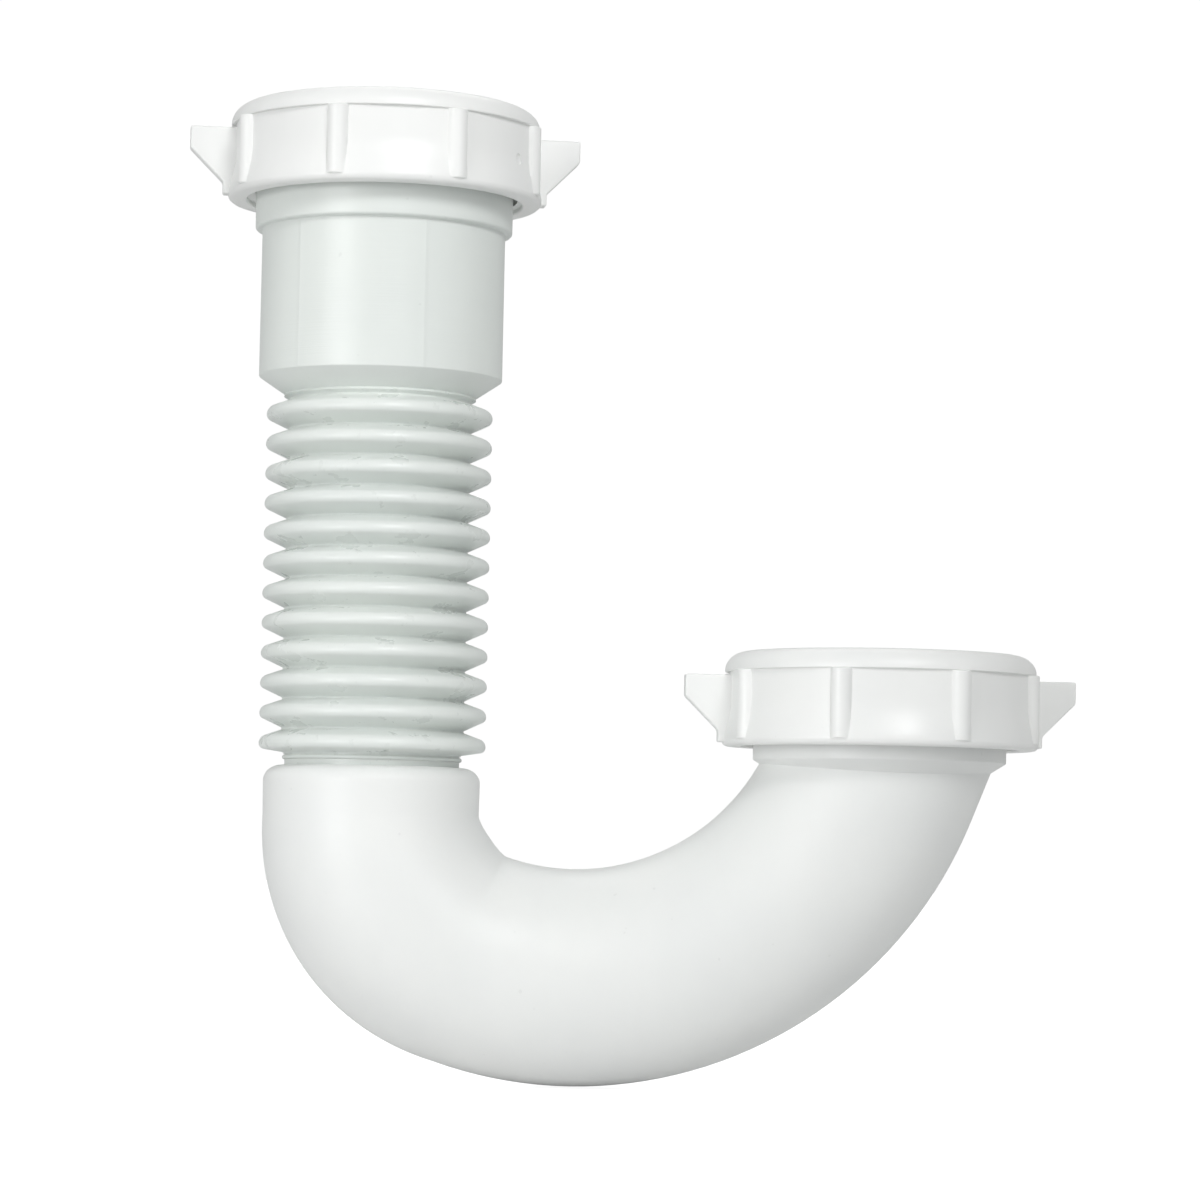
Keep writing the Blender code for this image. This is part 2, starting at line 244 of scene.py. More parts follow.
def rounded(corners, steps=5):
    """Closed outline of (radius, height, fillet) corners with the fillets drawn as arcs."""
    line = []
    count = len(corners)
    for i, (r, z, fillet) in enumerate(corners):
        here = Vector((r, z))
        if fillet <= 0:
            line.append((r, z))
            continue
        back = Vector(corners[i - 1][:2]) - here
        ahead = Vector(corners[(i + 1) % count][:2]) - here
        half = back.angle(ahead) / 2
        cut = min(fillet / math.tan(half), 0.49 * back.length, 0.49 * ahead.length)
        fillet = cut * math.tan(half)
        centre = here + (back.normalized() + ahead.normalized()).normalized() * fillet / math.sin(half)
        start = here + back.normalized() * cut - centre
        end = here + ahead.normalized() * cut - centre
        sweep = math.pi - 2 * half
        for step in range(steps + 1):
            t = step / steps
            spoke = (start * math.sin((1 - t) * sweep) + end * math.sin(t * sweep)) / math.sin(sweep)
            line.append(tuple(centre + spoke))
    return line


def thread_radius(corners, phase, turns):
    """Radius of a thread at a height counted in pitches, from its corner points."""
    at = (turns - phase) % 1.0
    ends = list(corners) + [(1.0, corners[0][1])]
    for (a, ra), (b, rb) in zip(ends, ends[1:]):
        if at <= b:
            return ra + (rb - ra) * (at - a) / (b - a)
    return corners[0][1]


def thread_points(corners, phase, z_low, z_high, turn):
    """Points of a right-hand thread with eased corners up one line, clamped to both ends."""
    rows = []
    first = math.floor(z_low / PITCH) - 2
    last = math.ceil(z_high / PITCH) + 1
    spots = [at + side for at, _ in corners for side in (-CORNER_ROUND, 0.0, CORNER_ROUND)]
    for pitch in range(first, last + 1):
        for spot in spots:
            height = (pitch + spot + phase + turn) * PITCH
            height = min(max(height, z_low), z_high)
            along = height / PITCH - turn
            eased = [thread_radius(corners, phase, along + side * CORNER_ROUND) for side in (-1, 0, 0, 1)]
            rows.append((sum(eased) / len(eased), height))
    return rows


# ------------------------------------------------------------------ meshes

def finish_mesh(bm, name):
    """Mesh made from bm, with every face turned outward."""
    bmesh.ops.recalc_face_normals(bm, faces=bm.faces)
    mesh = bpy.data.meshes.new(name)
    bm.to_mesh(mesh)
    bm.free()
    return mesh


def even_turns(sides):
    """Fractions of a turn, evenly spaced."""
    return [side / sides for side in range(sides)]


def turned_mesh(name, line_at, turns):
    """Solid turned about Z whose closed section at each turn is line_at(turn)."""
    bm = bmesh.new()
    made = {}
    columns = []
    count = len(turns)
    for side, turn in enumerate(list(turns) + [turns[0] + 1.0]):
        angle = TAU * (turn % 1.0)
        column = []
        for radius, height in line_at(turn):
            key = (side % count, round(radius * 1e7), round(height * 1e7))
            if key not in made:
                made[key] = bm.verts.new((radius * math.cos(angle), radius * math.sin(angle), height))
            column.append(made[key])
        columns.append(column)
    for left, right in zip(columns, columns[1:]):
        for j in range(len(left)):
            k = (j + 1) % len(left)
            corners = []
            for vert in (left[j], right[j], right[k], left[k]):
                if vert not in corners:
                    corners.append(vert)
            if len(corners) > 2 and bm.faces.get(corners) is None:
                bm.faces.new(corners)
    return finish_mesh(bm, name)


def centre_line():
    """(x, z, direction, swell) along the bend's centre line, down to its last arc point."""
    stations = []
    for i in range(TIGHT_STEPS):
        angle = TIGHT_ANGLE * i / TIGHT_STEPS
        x = TIGHT_R * (1 - math.cos(angle))
        z = TIGHT_TOP_Z - TIGHT_R * math.sin(angle)
        stations.append((x, z, angle, BEND_SWELL * math.sin(math.pi * i / TIGHT_STEPS)))
    join_x = TIGHT_R * (1 - math.cos(TIGHT_ANGLE))
    join_z = TIGHT_TOP_Z - TIGHT_R * math.sin(TIGHT_ANGLE)
    hub_x = join_x + WIDE_R * math.cos(TIGHT_ANGLE)
    hub_z = join_z + WIDE_R * math.sin(TIGHT_ANGLE)
    for i in range(WIDE_STEPS + 1):
        angle = TIGHT_ANGLE + WIDE_ANGLE * i / WIDE_STEPS
        stations.append((hub_x - WIDE_R * math.cos(angle), hub_z - WIDE_R * math.sin(angle), angle, 0.0))
    return stations


def seam_height(around):
    """Parting ridge along the bend's inner and outer lines."""
    off = min(abs(math.sin(around)), 1.0) * PIPE_R / SEAM_WIDE
    return SEAM_HIGH * math.exp(-off * off)


def sweep_mesh(name, leg, radius, end_run, seamed):
    """Solid down the leg and round the bend. `leg` lists (height, radius) from the top."""
    turns = even_turns(TUBE_SIDES)
    if seamed:
        fine = [part * SEAM_WIDE / PIPE_R / TAU for part in (-1.8, -0.9, 0.9, 1.8)]
        turns = sorted(turns + [(base + step) % 1.0 for base in (0.0, 0.5) for step in fine])
    arcs = centre_line()
    x, z, angle, _ = arcs[-1]
    arcs.append((x + math.sin(angle) * end_run, z - math.cos(angle) * end_run, angle, 0.0))
    stations = [(0.0, height, 0.0, across) for height, across in leg]
    stations += [(x, z, angle, radius + swell) for x, z, angle, swell in arcs]
    bm = bmesh.new()
    rings = []
    for x, z, angle, across in stations:
        centre = Vector((INLET_X + x, 0, z))
        side = Vector((math.cos(angle), 0, math.sin(angle)))
        ring = []
        for turn in turns:
            around = TAU * turn
            r = across + (seam_height(around) if seamed else 0.0)
            spot = centre + side * r * math.cos(around) + Vector((0, r * math.sin(around), 0))
            ring.append(bm.verts.new(spot))
        rings.append(ring)
    count = len(turns)
    for upper, lower in zip(rings, rings[1:]):
        for j in range(count):
            k = (j + 1) % count
            bm.faces.new((upper[j], upper[k], lower[k], lower[j]))
    bm.faces.new(rings[0])
    bm.faces.new(rings[-1])
    return finish_mesh(bm, name)


def add_object(name, mesh, mat, spot=(0, 0, 0), sharp=SHARP_ANGLE):
    """Smooth-shaded object whose mesh is moved to spot, with its own origin left at 0."""
    obj = bpy.data.objects.new(name, mesh)
    bpy.context.collection.objects.link(obj)
    mesh.transform(Matrix.Translation(spot))
    mesh.materials.clear()
    mesh.materials.append(mat)
    mesh.shade_smooth()
    mesh.set_sharp_from_angle(angle=math.radians(sharp))
    return obj


def combine(obj, mesh, operation):
    """Joins or cuts obj with a mesh at once, so that nothing but its own mesh is left."""
    guide = bpy.data.objects.new(obj.name + "_guide", mesh)
    bpy.context.collection.objects.link(guide)
    modifier = obj.modifiers.new("combine", "BOOLEAN")
    modifier.operation = operation
    modifier.solver = "EXACT"
    modifier.object = guide
    view = bpy.context.evaluated_depsgraph_get()
    done = bpy.data.meshes.new_from_object(obj.evaluated_get(view))
    obj.modifiers.clear()
    obj.data = done
    bpy.data.objects.remove(guide, do_unlink=True)


def shade(obj):
    """Smooth shading again, after a join or a cut has made a new mesh."""
    obj.data.shade_smooth()
    obj.data.set_sharp_from_angle(angle=math.radians(SHARP_ANGLE))


# --------------------------------------------------------------- materials

class Nodes:
    """Short way to write a material's nodes."""

    def __init__(self, name):
        self.mat = bpy.data.materials.new(name)
        self.mat.use_nodes = True
        self.tree = self.mat.node_tree
        self.shader = self.tree.nodes["Principled BSDF"]
        self.place = self.tree.nodes.new("ShaderNodeTexCoord").outputs["Object"]

    def add(self, kind, **settings):
        node = self.tree.nodes.new(kind)
        for key, value in settings.items():
            if hasattr(node, key):
                setattr(node, key, value)
            else:
                node.inputs[key.replace("_", " ")].default_value = value
        return node

    def link(self, output, socket):
        self.tree.links.new(output, socket)

    def noise(self, scale, detail=2.0, rough=0.5, stretch=None):
        node = self.add("ShaderNodeTexNoise", Scale=scale, Detail=detail, Roughness=rough)
        where = self.place
        if stretch:
            mapping = self.add("ShaderNodeMapping")
            mapping.inputs["Scale"].default_value = stretch
            self.link(self.place, mapping.inputs["Vector"])
            where = mapping.outputs["Vector"]
        self.link(where, node.inputs["Vector"])
        return node.outputs["Fac"]

    def spread(self, value, low, high, to_low, to_high):
        node = self.add("ShaderNodeMapRange", clamp=True)
        self.link(value, node.inputs["Value"])
        for key, number in zip(("From Min", "From Max", "To Min", "To Max"), (low, high, to_low, to_high)):
            node.inputs[key].default_value = number
        return node.outputs["Result"]

    def mix(self, factor, first, second):
        """Colour between two colours or colour outputs."""
        node = self.add("ShaderNodeMix", data_type="RGBA")
        self.link(factor, node.inputs[0])
        for value, socket in ((first, node.inputs[6]), (second, node.inputs[7])):
            if isinstance(value, tuple):
                socket.default_value = (*value, 1.0)
            else:
                self.link(value, socket)
        return node.outputs[2]

    def math(self, operation, first, second):
        node = self.add("ShaderNodeMath", operation=operation)
        for value, socket in ((first, node.inputs[0]), (second, node.inputs[1])):
            if isinstance(value, float):
                socket.default_value = value
            else:
                self.link(value, socket)
        return node.outputs[0]

    def bump(self, height, distance, after=None):
        node = self.add("ShaderNodeBump", Strength=1.0, Distance=distance)
        self.link(height, node.inputs["Height"])
        if after:
            self.link(after, node.inputs["Normal"])
        return node.outputs["Normal"]


def tint(color, factor, shift=(0, 0, 0)):
    """Colour made lighter or darker by factor, then shifted."""
    return tuple(min(c * factor + s, 1.0) for c, s in zip(color, shift))


def plastic(name, color, roughness, grain, turned=False):
    """White moulded plastic: cloudy colour, uneven gloss, a few specks and a fine skin.

    `grain` is the height of the skin's fine texture; `turned` adds faint lathe marks.
    """
    n = Nodes(name)
    cloud = n.spread(n.noise(45, 3.0), 0.3, 0.7, 0.0, 1.0)
    base = n.mix(cloud, tint(color, 0.972, (-0.002, 0, 0.002)), tint(color, 1.012, (0.002, 0.001, -0.002)))
    streak = n.spread(n.noise(120, 4.0, 0.6, (1.0, 1.0, 0.18)), 0.45, 0.8, 0.0, 0.35)
    base = n.mix(streak, base, tint(color, 0.955))
    speck = n.spread(n.noise(620, 1.0), 0.78, 0.82, 0.0, 0.14)
    base = n.mix(speck, base, tint(color, 0.55))
    n.link(base, n.shader.inputs["Base Color"])
    gloss = n.spread(n.noise(160, 4.0, 0.6), 0.3, 0.7, roughness - 0.05, roughness + 0.05)
    n.link(gloss, n.shader.inputs["Roughness"])
    skin = n.bump(n.noise(90, 2.0), 0.06 * MM)
    skin = n.bump(n.noise(3200, 3.0, 0.65), grain, skin)
    if turned:
        rings = n.noise(9.0, 4.0, 0.75, (0.6, 0.6, 260.0))
        patch = n.spread(n.noise(60, 2.0), 0.42, 0.62, 0.0, 1.0)
        skin = n.bump(n.math("MULTIPLY", rings, patch), 0.05 * MM, skin)
    n.link(skin, n.shader.inputs["Normal"])
    n.shader.inputs["IOR"].default_value = PLASTIC_IOR
    n.shader.inputs["Specular IOR Level"].default_value = 0.5
    return n.mat


# ------------------------------------------------------------------ pieces

def seat_corners():
    """Socket mouth from the rim in: a rounded lip, then the washer's tapered seat."""
    return [(SEAT_R, 0.0, 0.25 * MM), (SOCKET_R, -SEAT_DEPTH, 0.3 * MM)]


def socket_rim():
    """Corners of a threaded mouth, from its outer edge in to the seat."""
    return [(MALE_ROOT_R, 0.0, MOUTH_ROUND)] + seat_corners()


def collar_with_thread(foot, turn, rim):
    """Outline from a collar's foot up its thread and over its rim, back to the start."""
    lead = [(MALE_ROOT_R - 0.15 * MM, THREAD_TOP + 0.2 * MM)]
    return foot + thread_points(MALE_CORNERS, 0.0, THREAD_END, THREAD_TOP, turn) + lead + rim


def build_bend(mat):
    """The J-bend moulding: leg, bend and threaded outlet socket, hollow right through."""
    shoulder = []
    steps = 10
    for step in range(steps + 1):
        angle = math.pi / 2 * (1 - step / steps)
        shoulder.append((LEG_TOP - SHOULDER_DOWN * (1 - math.sin(angle)),
                         PIPE_R - SHOULDER_OUT * (1 - math.cos(angle))))
    outside = sweep_mesh("trap_bend", shoulder, PIPE_R - SEAM_HIGH, TUBE_RUN_IN, True)
    bend = add_object("trap_bend", outside, mat)

    fillet = 0.3 * MM
    foot = rounded([(0.1 * MM, OUTLET_CONE_END, 0), (OUTLET_CONE_R, OUTLET_CONE_END, 0),
                    (BAND_R, BAND_END, fillet), (BAND_R, THREAD_END, 0), (0.1 * MM, THREAD_END, 0)])[:-1]
    rim = rounded([(MALE_ROOT_R, 0.0, MOUTH_ROUND), (0.1 * MM, 0.0, 0), (0.1 * MM, THREAD_TOP, 0)])[:-1]
    collar = turned_mesh("outlet_collar", lambda turn: collar_with_thread(foot, turn, rim),
                         even_turns(THREAD_SIDES))
    combine(bend, collar, "UNION")

    inner = PIPE_R - WALL
    leg = [(LEG_TOP + 4 * MM, LEG_LIP_R), (LEG_TOP - LEG_LIP, LEG_LIP_R),
           (LEG_TOP - LEG_LIP - LEG_LIP_STEP, inner)]
    combine(bend, sweep_mesh("waterway", leg, inner, WATERWAY_RUN_IN, False), "DIFFERENCE")
    bore = rounded([(0.1 * MM, 3 * MM, 0), (SEAT_R + 3 * MM, 3 * MM, 0), (SEAT_R, 0.0, 0.2 * MM),
                    (SOCKET_R, -SEAT_DEPTH, 0.3 * MM), (SOCKET_R, OUTLET_FLOOR, 0.5 * MM),
                    (0.1 * MM, OUTLET_FLOOR, 0)])
    combine(bend, turned_mesh("bore", lambda turn: bore, even_turns(THREAD_SIDES)), "DIFFERENCE")

    nub = bmesh.new()
    bmesh.ops.create_cone(nub, cap_ends=True, segments=24, radius1=NUB_R[0], radius2=NUB_R[1],
                          depth=NUB_HEIGHT)
    bmesh.ops.bevel(nub, geom=nub.edges[:], offset=NUB_EDGE, segments=2, affect="EDGES")
    angle = TIGHT_ANGLE + NUB_PAST_TIGHT
    hub = Vector((INLET_X + TIGHT_R + (WIDE_R - TIGHT_R) * math.cos(TIGHT_ANGLE), 0,
                  TIGHT_TOP_Z + (WIDE_R - TIGHT_R) * math.sin(TIGHT_ANGLE)))
    out = Vector((-math.cos(angle), 0, -math.sin(angle)))
    aim = out.to_track_quat("Z", "Y").to_matrix().to_4x4()
    nub.transform(Matrix.Translation(hub + out * (WIDE_R + PIPE_R - NUB_SUNK)) @ aim)
    combine(bend, finish_mesh(nub, "gate"), "UNION")
    shade(bend)
    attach(bend, "trap")
    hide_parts("j_bend")


def build_cuff(mat):
    """Cuff that holds the riser in the leg, just seen in the leg's rim."""
    top = LEG_TOP - 0.15 * MM
    line = rounded([(CUFF_IN_R, LEG_TOP - CUFF_DEEP, 0.2 * MM), (CUFF_OUT_R, LEG_TOP - CUFF_DEEP, 0.3 * MM),
                    (CUFF_OUT_R, LEG_TOP - LEG_LIP - 1.0 * MM, 0.2 * MM),
                    (LEG_LIP_R - 0.2 * MM, LEG_TOP - LEG_LIP - 0.2 * MM, 0.1 * MM),
                    (LEG_LIP_R - 0.2 * MM, top, 0.22 * MM),
                    (NECK_R + 0.1 * MM, top, 0.1 * MM), (NECK_R + 0.1 * MM, LEG_TOP - CUFF_LEDGE, 0),
                    (CUFF_IN_R, LEG_TOP - CUFF_LEDGE, 0.1 * MM)], 4)
    mesh = turned_mesh("riser_cuff", lambda turn: line, even_turns(RING_SIDES))
    cuff = add_object("riser_cuff", mesh, mat, (INLET_X, 0, 0))
    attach(cuff, "trap")
    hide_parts("flex_cuff")


def flank_angle(crest_round, foot_r, drop):
    """Angle on the crest's arc where the straight flank down to a foot of radius foot_r starts."""
    across = (CREST_R - crest_round) - (foot_r + VALLEY_ROUND)
    return math.atan2(drop, -across) - math.acos((crest_round + VALLEY_ROUND) / math.hypot(across, drop))


def half_wave(crest_round, foot_r, drop):
    """(radius, height, normal's angle) from a crest up to a valley of radius foot_r."""
    lean = flank_angle(crest_round, foot_r, drop)
    rows = []
    for part in (0.0, 0.02, 0.14, 0.28, 0.42, 0.56, 0.7, 0.85, 1.0):
        angle = lean * part
        rows.append((CREST_R - crest_round * (1 - math.cos(angle)), crest_round * math.sin(angle), angle))
    foot = (foot_r + VALLEY_ROUND * (1 - math.cos(lean)), drop - VALLEY_ROUND * math.sin(lean))
    head = rows[-1]
    for part in (0.25, 0.5, 0.75):
        rows.append((head[0] + (foot[0] - head[0]) * part, head[1] + (foot[1] - head[1]) * part, lean))
    for part in (1.0, 0.75, 0.5, 0.25, 0.0):
        angle = lean * part
        rows.append((foot_r + VALLEY_ROUND * (1 - math.cos(angle)),
                     drop - VALLEY_ROUND * math.sin(angle), angle))
    return rows


def flipped(rows):
    """The same wall going down instead of up, from its valley to its crest."""
    return [(r, -z, -angle) for r, z, angle in rows[::-1]]


def closed_wall(rows):
    """Outline of a wall of even thickness whose outer face is `rows`."""
    outer = [(r, z) for r, z, _ in rows]
    inner = [(r - RISER_WALL * math.cos(a), z - RISER_WALL * math.sin(a)) for r, z, a in rows]
    return outer + inner[::-1]


def neck_rows():
    """Riser's neck with its bead, from inside the leg up to the lowest wave's foot."""
    foot_z = FLEX_Z[0] + RING_PITCH / 2 - NECK_DROP
    rows = [(NECK_R, LEG_TOP - 1.4 * MM, 0.0)]
    for step in range(9):
        along = -1 + step / 4
        out = NECK_BEAD * math.sqrt(max(1 - along * along, 0.0))
        rows.append((NECK_R + out, foot_z - 0.62 * MM + 0.42 * MM * along, 0.0))
    return rows + [(NECK_R, foot_z + 0.1 * MM, 0.0)]


def add_riser_part(name, rows, z, body, mat):
    """One rigid length of the riser's wall, turned about its axis and carried by body."""
    line = closed_wall(rows)
    mesh = turned_mesh(name, lambda turn: line, even_turns(RING_SIDES))
    part = add_object(name, mesh, mat, (INLET_X, 0, z), RISER_SHARP_ANGLE)
    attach(part, body)
    return part


def build_bellows(mat):
    """The corrugated tube: one rigid wave per convolution, valley to valley.

    A liner just under each valley's surface keeps it closed when the waves tilt.
    """
    half = RING_PITCH / 2
    over = half_wave(CREST_ROUND_UP, VALLEY_R, half)
    for k in range(1, len(FLEX_Z)):
        under = flipped(half_wave(CREST_ROUND_DOWN, VALLEY_R, half))
        if k == 1:
            under = flipped(half_wave(CREST_ROUND_DOWN, NECK_R + 0.25 * MM, NECK_DROP))
        wave = add_riser_part("riser_wave_%02d" % k, under + over[1:], FLEX_Z[k] - half, FLEX_BODIES[k], mat)
        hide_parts("flex_ring_%02d" % k)
    add_riser_part("riser_neck", neck_rows(), 0, FLEX_BODIES[0], mat)
    reach = COLLAR_FOOT - FLEX_Z[-1]
    head = [(r, z + half, angle) for r, z, angle in flipped(half_wave(CREST_ROUND_DOWN, VALLEY_R, half))]
    head = [row for row in head if row[1] < reach + 0.1 * MM]
    add_riser_part("riser_head", head, FLEX_Z[-1], FLEX_BODIES[-1], mat)
    for k, joint_z in enumerate(FLEX_Z):
        liner_r = (NECK_R if k == 0 else VALLEY_R) - LINER_DEPTH
        band = [(liner_r, -LINER_REACH, 0.0), (liner_r, LINER_REACH, 0.0)]
        add_riser_part("riser_liner_%02d" % (k + 1), band, joint_z, FLEX_BODIES[k], mat)


def mould_offset(turn):
    """Height of the collar's wall where a mould insert left a step and two fine lines."""
    angle = TAU * (turn % 1.0)
    first, second = (line % TAU for line in MOULD_LINES)
    width = MOULD_LINE_WIDE / COLLAR_R
    inside = (math.tanh((angle - first) / width) - math.tanh((angle - second) / width)) / 2
    ridge = sum(math.exp(-((angle - line) / width) ** 2) for line in (first, second))
    return MOULD_STEP * inside + MOULD_RIDGE * ridge - MOULD_STEP


def build_collar(mat):
    """Inlet collar: cone, plain wall with its mould lines, flange, thread and socket."""
    foot_z = COLLAR_FOOT - INLET_MOUTH
    fine = [line / TAU + step * MOULD_LINE_WIDE / COLLAR_R / TAU
            for line in MOULD_LINES for step in (-1.5, -0.75, 0.0, 0.75, 1.5)]
    turns = sorted(set(even_turns(THREAD_SIDES) + [turn % 1.0 for turn in fine]))
    inside = rounded([(COLLAR_R, THREAD_END, 0)] + socket_rim()[1:] + [
        (SOCKET_R, INLET_FLOOR, 0.5 * MM), (RISER_BORE_R, INLET_FLOOR, 0.3 * MM),
        (RISER_BORE_R, foot_z, 0)])[1:]

    def line(turn):
        wall = COLLAR_R + mould_offset(turn)
        foot = rounded([(RISER_BORE_R, foot_z, 0), (VALLEY_R + 0.1 * MM, foot_z, 0.0),
                        (VALLEY_R + 1.0 * MM, foot_z + 0.42 * MM, 0.3 * MM),
                        (wall, COLLAR_CONE_TOP, 0.35 * MM),
                        (wall, FLANGE_END, 0.25 * MM), (FLANGE_R, FLANGE_END + 0.1 * MM, 0.5 * MM),
                        (FLANGE_R, THREAD_END, 0.3 * MM), (MALE_ROOT_R, THREAD_END, 0),
                        (RISER_BORE_R, THREAD_END, 0)])[1:-2]
        return collar_with_thread(foot, turn, [(MALE_ROOT_R, -0.35 * MM), (MALE_ROOT_R - 0.1 * MM, -0.1 * MM),
                                               (MALE_ROOT_R - 0.35 * MM, 0.0)]) + inside

    mesh = turned_mesh("inlet_collar_fine", line, turns)
    collar = add_object("inlet_collar_fine", mesh, mat, (INLET_X, 0, INLET_MOUTH))
    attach(collar, "inlet")
    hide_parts("inlet_collar")


def nut_turns(first_rib):
    """Turns round the nut, close together over each rib."""
    half = RIB_R / NUT_WAIST_R / TAU
    offsets = [half * math.sin(math.radians(angle)) for angle in (0, 14, 28, 42, 55, 66, 76)]
    offsets += [half * part for part in (0.995, 1.04, 1.12, 1.3)]
    period = 1 / RIB_COUNT
    panel_steps = 12
    edge = offsets[-1]
    plain = [edge + (period - 2 * edge) * i / panel_steps for i in range(1, panel_steps)]
    one = sorted(set([-o for o in offsets] + offsets + plain))
    return sorted({round((first_rib + rib * period + turn) % 1.0, 9)
                   for rib in range(RIB_COUNT) for turn in one})


def rib_height(turn):
    """How far a rib's half-round face stands from the nut's axis, or 0 between ribs."""
    away = ((turn * RIB_COUNT + 0.5) % 1.0 - 0.5) / RIB_COUNT * TAU * NUT_WAIST_R
    if abs(away) >= RIB_R:
        return 0.0
    return NUT_WAIST_R + RIB_STAND + 0.2 * MM - RIB_R + math.sqrt(RIB_R ** 2 - away ** 2)


def panel_depth(turn, z):
    """Recess of the flattened panel between two ribs, fading towards the skirt."""
    across = 0.5 - 0.5 * math.cos(TAU * turn * RIB_COUNT)
    fade = min(max((z - NUT_BOTTOM - 1.5 * MM) / (6 * MM), 0.0), 1.0)
    return PANEL_DEPTH * math.sqrt(across) * (0.25 + 0.75 * fade * fade * (3 - 2 * fade))


def wall_radius(turn, z):
    """Nut's waisted wall: it flares to the skirt and is flattened between ribs."""
    flare = min(max((-4.0 * MM - z) / (6.1 * MM), 0.0), 1.0)
    return NUT_WAIST_R + (NUT_SKIRT_R - NUT_WAIST_R) * flare ** 1.6 - panel_depth(turn, z)


def nut_line(turn, first_rib):
    """One section through the nut: skirt, ribbed wall, ledge, dome, lip and inside thread."""
    grip = turn - first_rib
    rib = rib_height(grip)
    skirt = wall_radius(grip, NUT_BOTTOM + 0.9 * MM)
    rows = [(skirt - 0.9 * MM, NUT_BOTTOM), (skirt - 0.5 * MM, NUT_BOTTOM + 0.1 * MM),
            (skirt - 0.17 * MM, NUT_BOTTOM + 0.38 * MM)]
    foot = NUT_BOTTOM + RIB_FOOT
    rows += [(skirt - 0.02 * MM, foot - 0.15 * MM), (wall_radius(grip, foot), foot)]
    edge = 0.2 * MM
    steps = 12
    heights = [foot, foot + edge] + [foot + edge + (NUT_SHOULDER - foot - 2 * edge) * i / steps
                                     for i in range(1, steps + 1)] + [NUT_SHOULDER]
    for z in heights:
        worn = edge if z in (foot, NUT_SHOULDER) else 0.0
        rows.append((max(wall_radius(grip, z), rib - worn), z))
    rows.append((wall_radius(grip, NUT_SHOULDER), NUT_SHOULDER))
    rows += [(DOME_R - 0.12 * MM, NUT_SHOULDER), (DOME_R, NUT_SHOULDER + 0.12 * MM)]
    steps = 10
    base = NUT_SHOULDER + 0.3 * MM
    for i in range(steps + 1):
        angle = math.pi / 2 * i / steps
        rows.append((NUT_TOP_R + (DOME_R - NUT_TOP_R) * math.cos(angle),
                     base + (NUT_TOP - base) * math.sin(angle)))
    for i in range(5):
        angle = math.pi / 2 * i / 4
        rows.append((NUT_HOLE_R + 0.5 * MM * (1 - math.sin(angle)),
                     NUT_TOP - 0.5 * MM * (1 - math.cos(angle))))
    rows += [(NUT_HOLE_R, NUT_LIP_UNDER), (FEMALE_ROOT_R, NUT_LIP_UNDER), (FEMALE_ROOT_R, 0.6 * MM)]
    rows += thread_points(FEMALE_CORNERS, FEMALE_PHASE, NUT_BOTTOM + 1.0 * MM, 0.4 * MM, turn)[::-1]
    rows += [(FEMALE_ROOT_R + 0.3 * MM, NUT_BOTTOM + 0.8 * MM),
             (FEMALE_ROOT_R + 0.3 * MM, NUT_BOTTOM + 0.2 * MM), (FEMALE_ROOT_R + 0.5 * MM, NUT_BOTTOM)]
    return rows


def wing_mesh():
    """Both wings: flat plates with eased edges, a slanted underside and a small foot."""
    top = NUT_SHOULDER - WING_TOP
    root_r = NUT_WAIST_R - 1.0 * MM
    outline = [(root_r, top), (WING_R, top), (WING_R, top - WING_EDGE),
               (WING_FOOT_R, NUT_SHOULDER - WING_FOOT_TOP), (WING_FOOT_R, NUT_SHOULDER - WING_FOOT_END),
               (root_r, NUT_SHOULDER - WING_FOOT_END)]
    bm = bmesh.new()
    for side in (0, math.pi):
        spin = Matrix.Rotation(side, 3, "Z")
        faces = [[bm.verts.new(spin @ Vector((r, y, z))) for r, z in outline]
                 for y in (-WING_T / 2, WING_T / 2)]
        for j in range(len(outline)):
            k = (j + 1) % len(outline)
            bm.faces.new((faces[0][j], faces[0][k], faces[1][k], faces[1][j]))
        bm.faces.new(faces[0])
        bm.faces.new(faces[1])
    bmesh.ops.recalc_face_normals(bm, faces=bm.faces)
    outer = [e for e in bm.edges if max(math.hypot(*v.co.xy) for v in e.verts) > NUT_WAIST_R + 0.5 * MM]
    bmesh.ops.bevel(bm, geom=outer, offset=0.35 * MM, segments=3, affect="EDGES", profile=0.5)
    return finish_mesh(bm, "wings")


def gate_mark():
    """Shallow oval pit left by the mould's gate in one panel of the inlet nut."""
    bm = bmesh.new()
    bmesh.ops.create_uvsphere(bm, u_segments=32, v_segments=16, radius=1.0)
    across, up, deep = GATE_SIZE
    spot = Vector((NUT_WAIST_R - PANEL_DEPTH + 0.1 * MM, 0, GATE_Z))
    bm.transform(Matrix.Rotation(GATE_TURN, 4, "Z") @ Matrix.Translation(spot)
                 @ Matrix.Diagonal((deep, across, up, 1)))
    return finish_mesh(bm, "gate_mark")


def build_nuts(mat):
    """Slip nuts; the wings stand midway between two ribs, where each nut stopped turning."""
    for end, spot, angle in (("inlet", (INLET_X, 0, INLET_MOUTH), INLET_WING_ANGLE),
                             ("outlet", (0, 0, 0), OUTLET_WING_ANGLE)):
        first_rib = angle / TAU + 0.5 / RIB_COUNT
        body = turned_mesh(end + "_slip_nut", lambda turn: nut_line(turn, first_rib), nut_turns(first_rib))
        nut = add_object(end + "_slip_nut", body, mat)
        wings = wing_mesh()
        wings.transform(Matrix.Rotation(angle, 4, "Z"))
        combine(nut, wings, "UNION")
        if end == "inlet":
            combine(nut, gate_mark(), "DIFFERENCE")
        nut.data.transform(Matrix.Translation(spot))
        shade(nut)
        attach(nut, end + "_nut")
        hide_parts(end + "_nut")


